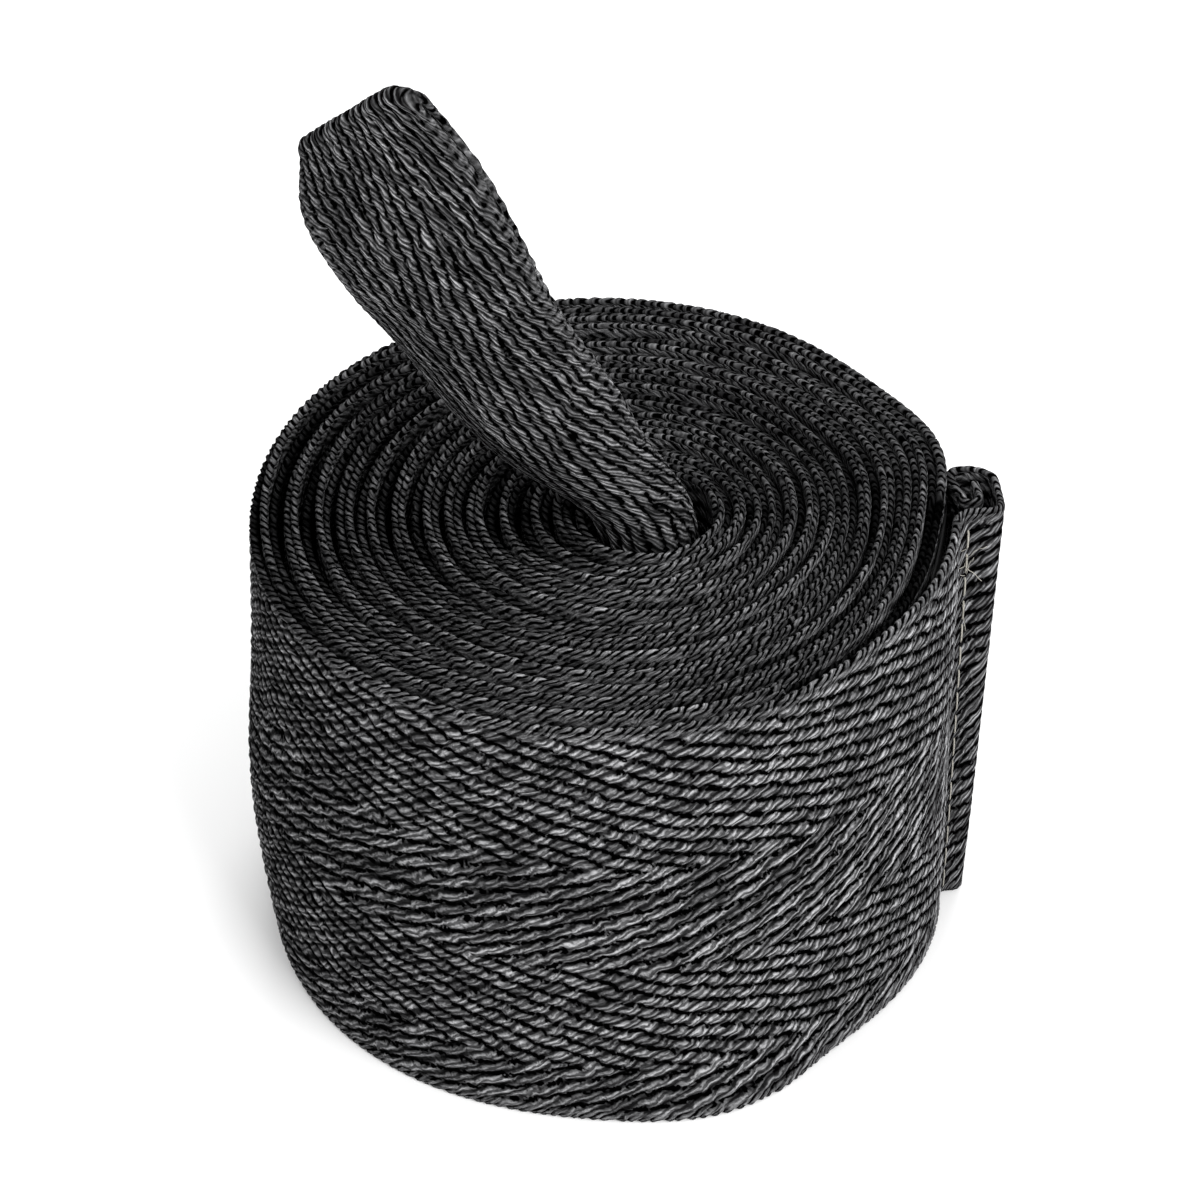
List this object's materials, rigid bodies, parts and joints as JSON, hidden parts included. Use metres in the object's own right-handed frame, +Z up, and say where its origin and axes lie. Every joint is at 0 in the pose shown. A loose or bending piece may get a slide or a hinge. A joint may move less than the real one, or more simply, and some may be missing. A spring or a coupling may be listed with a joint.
{
  "type": "hand wrap",
  "caption": "Rolled woven cotton boxing hand wrap with a folded thumb loop at the core and a hook-and-pile closure on the outer end.",
  "frame": {"origin": "middle of the whole object's base, loop and hem included, at the height of the face it stands on", "axes": "+Z up along the roll's axis, -Y towards the front, +X towards the closure, thumb loop leaning to -X"},
  "size_m": [0.0772, 0.069, 0.1037],
  "materials": {
    "band_cotton": "black cotton herringbone weave",
    "tape_cotton": "black cotton herringbone tape",
    "hook_nylon": "black nylon hooks",
    "pile_nylon": "black nylon pile",
    "black_thread": "black sewing thread",
    "pale_thread": "undyed cotton thread"
  },
  "bodies": {
    "roll": {"core_turns": "band_cotton", "inner_turns": "band_cotton", "middle_turns": "band_cotton", "outer_turns": "band_cotton", "last_turns": "band_cotton", "pile_strip": "pile_nylon", "pile_stitches": "black_thread", "loop_tails": "tape_cotton", "loop_tacks": "black_thread"},
    "flap": {"closure_flap": "band_cotton", "hem_stitches": "pale_thread", "hook_strip": "hook_nylon", "hook_stitches": "black_thread"},
    "loop": {"thumb_loop": "tape_cotton"}
  },
  "joints": [
    {"name": "closure_peel", "type": "hinge", "parent": "roll", "child": "flap", "pos_m": [0.01398, -0.02996, 0.025], "axis": [0, 0, -1], "range_deg": [0, 100]},
    {"name": "thumb_loop_bend", "type": "hinge", "parent": "roll", "child": "loop", "pos_m": [0.00145, -0.0038, 0.0514], "axis": [1, 0, 0], "range_deg": [-12, 65]}
  ]
}
